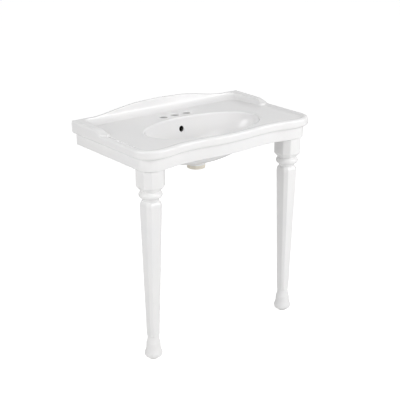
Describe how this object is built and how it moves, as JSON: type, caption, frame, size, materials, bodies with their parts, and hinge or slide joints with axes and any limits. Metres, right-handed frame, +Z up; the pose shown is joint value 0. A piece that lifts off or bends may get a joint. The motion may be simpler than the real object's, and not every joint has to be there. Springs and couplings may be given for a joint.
{
  "type": "console sink",
  "caption": "White china console sink on front legs: serpentine rim, shaped low backsplash, oval bowl with overflow, faucet holes and drain boss; the back hangs on the wall.",
  "frame": {"origin": "on the floor, under the middle of the top's width and depth", "axes": "+X to the right seen from the front, +Y towards the wall that it hangs on, +Z up"},
  "size_m": [0.738, 0.436, 0.8025],
  "materials": {
    "glazed_china": "white gloss glaze, unglazed at the drain boss",
    "black_rubber": "matt moulded rubber",
    "plated_steel": "zinc plated",
    "cement": "rough cast cement"
  },
  "bodies": {
    "root": {"console_top": "glazed_china", "left_leg": "glazed_china", "right_leg": "glazed_china", "left_leg_gasket": "black_rubber", "right_leg_gasket": "black_rubber", "left_leg_stud": "plated_steel", "right_leg_stud": "plated_steel", "left_stud_cement": "cement", "right_stud_cement": "cement", "left_stud_washer": "plated_steel", "right_stud_washer": "plated_steel", "left_wing_nut": "plated_steel", "right_wing_nut": "plated_steel", "left_foot_bung": "black_rubber", "right_foot_bung": "black_rubber"}
  },
  "joints": []
}
